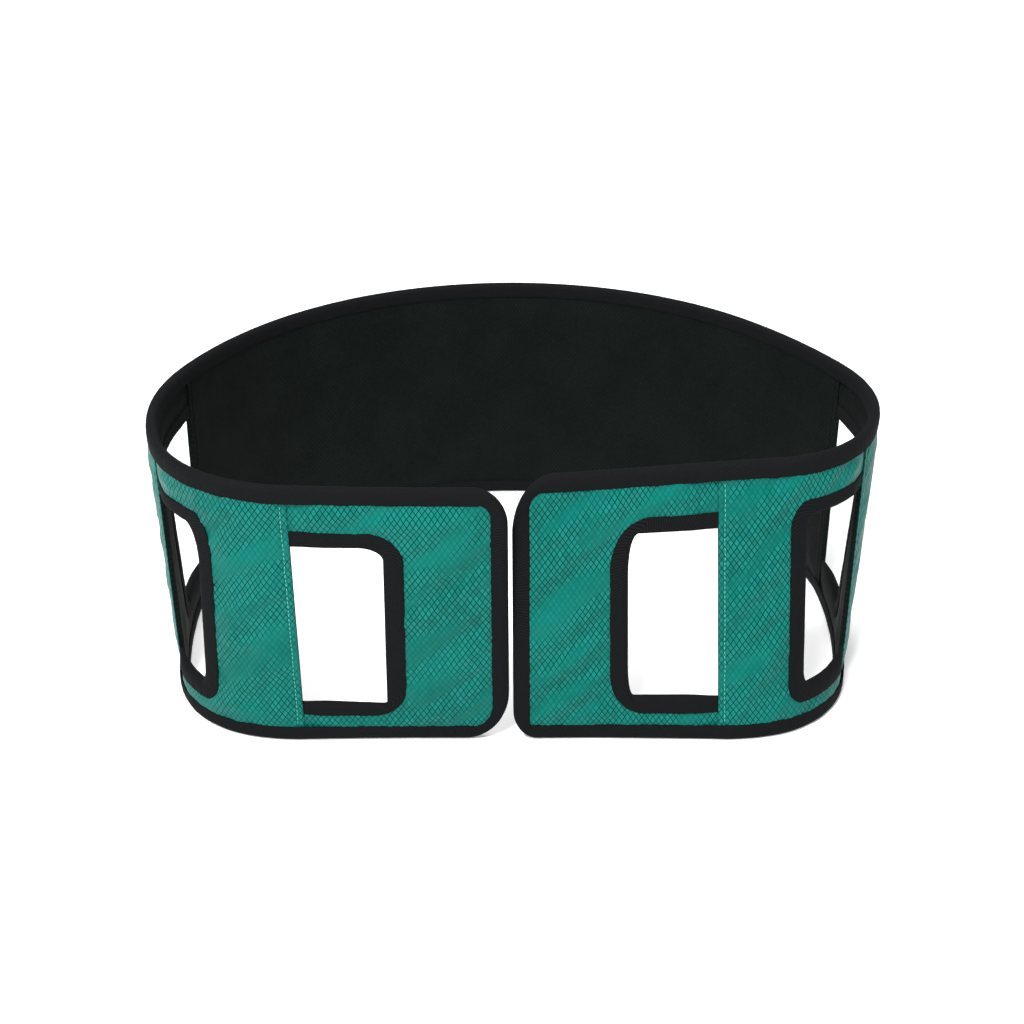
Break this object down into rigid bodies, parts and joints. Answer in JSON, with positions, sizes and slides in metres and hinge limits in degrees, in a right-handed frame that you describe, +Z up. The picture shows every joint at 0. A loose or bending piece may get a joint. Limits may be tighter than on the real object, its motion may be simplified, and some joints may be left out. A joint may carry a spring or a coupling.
{
  "type": "gait belt",
  "caption": "Wide padded gait belt with hand-holes, bound edges and free ends, standing on its edge in a closed loop; folds at its seams.",
  "frame": {"origin": "at floor level, under the centre of the belt's box as it stands on its edge", "axes": "+X to the right along the belt's width, as seen from the front where its ends meet; +Y to the back; +Z up along the belt's 200 mm height"},
  "size_m": [0.5226, 0.3721, 0.2],
  "materials": {
    "green_ripstop": "green ripstop nylon with a diamond grid of darker threads, slightly shiny",
    "black_binding_tape": "matte black twill tape",
    "black_mesh_lining": "matte black lining with a fine mesh texture",
    "foam_padding": "grey padding, hidden inside the belt",
    "green_thread": "light green topstitching thread"
  },
  "bodies": {
    "back": {"back_bottom_binding": "black_binding_tape", "back_left_hem": "green_ripstop", "back_left_hem_thread": "green_thread", "back_lining": "black_mesh_lining", "back_pad": "foam_padding", "back_right_hem": "green_ripstop", "back_right_hem_thread": "green_thread", "back_shell": "green_ripstop", "back_top_binding": "black_binding_tape"},
    "left_side": {"left_side_bottom_binding": "black_binding_tape", "left_side_hem": "green_ripstop", "left_side_hem_thread": "green_thread", "left_side_hole_binding": "black_binding_tape", "left_side_lining": "black_mesh_lining", "left_side_pad": "foam_padding", "left_side_shell": "green_ripstop", "left_side_top_binding": "black_binding_tape"},
    "left_middle": {"left_middle_bottom_binding": "black_binding_tape", "left_middle_hem": "green_ripstop", "left_middle_hem_thread": "green_thread", "left_middle_hole_binding": "black_binding_tape", "left_middle_lining": "black_mesh_lining", "left_middle_pad": "foam_padding", "left_middle_shell": "green_ripstop", "left_middle_top_binding": "black_binding_tape"},
    "left_end": {"left_end_edge_binding": "black_binding_tape", "left_end_hole_binding": "black_binding_tape", "left_end_lining": "black_mesh_lining", "left_end_pad": "foam_padding", "left_end_shell": "green_ripstop"},
    "right_side": {"right_side_bottom_binding": "black_binding_tape", "right_side_hem": "green_ripstop", "right_side_hem_thread": "green_thread", "right_side_hole_binding": "black_binding_tape", "right_side_lining": "black_mesh_lining", "right_side_pad": "foam_padding", "right_side_shell": "green_ripstop", "right_side_top_binding": "black_binding_tape"},
    "right_middle": {"right_middle_bottom_binding": "black_binding_tape", "right_middle_hem": "green_ripstop", "right_middle_hem_thread": "green_thread", "right_middle_hole_binding": "black_binding_tape", "right_middle_lining": "black_mesh_lining", "right_middle_pad": "foam_padding", "right_middle_shell": "green_ripstop", "right_middle_top_binding": "black_binding_tape"},
    "right_end": {"right_end_edge_binding": "black_binding_tape", "right_end_hole_binding": "black_binding_tape", "right_end_lining": "black_mesh_lining", "right_end_pad": "foam_padding", "right_end_shell": "green_ripstop"}
  },
  "joints": [
    {"name": "left_side_fold", "type": "hinge", "parent": "back", "child": "left_side", "pos_m": [-0.25004, 0.0044, 0.1], "axis": [-0.024, -0.0153, -0.9996], "range_deg": [0, 45]},
    {"name": "left_middle_fold", "type": "hinge", "parent": "left_side", "child": "left_middle", "pos_m": [-0.244, -0.1148, 0.1], "axis": [0.0057, -0.0357, -0.9993], "range_deg": [0, 60]},
    {"name": "left_end_fold", "type": "hinge", "parent": "left_middle", "child": "left_end", "pos_m": [-0.14722, -0.1804, 0.1], "axis": [-0.0006, -0.0158, -0.9999], "range_deg": [-60, 75]},
    {"name": "right_side_fold", "type": "hinge", "parent": "back", "child": "right_side", "pos_m": [0.24701, 0.00658, 0.1], "axis": [-0.0113, 0.037, 0.9992], "range_deg": [0, 45]},
    {"name": "right_middle_fold", "type": "hinge", "parent": "right_side", "child": "right_middle", "pos_m": [0.23965, -0.10857, 0.1], "axis": [0.0051, 0.0976, 0.9952], "range_deg": [0, 60]},
    {"name": "right_end_fold", "type": "hinge", "parent": "right_middle", "child": "right_end", "pos_m": [0.13815, -0.16397, 0.1], "axis": [-0.0474, 0.177, 0.9831], "range_deg": [-60, 75]}
  ]
}
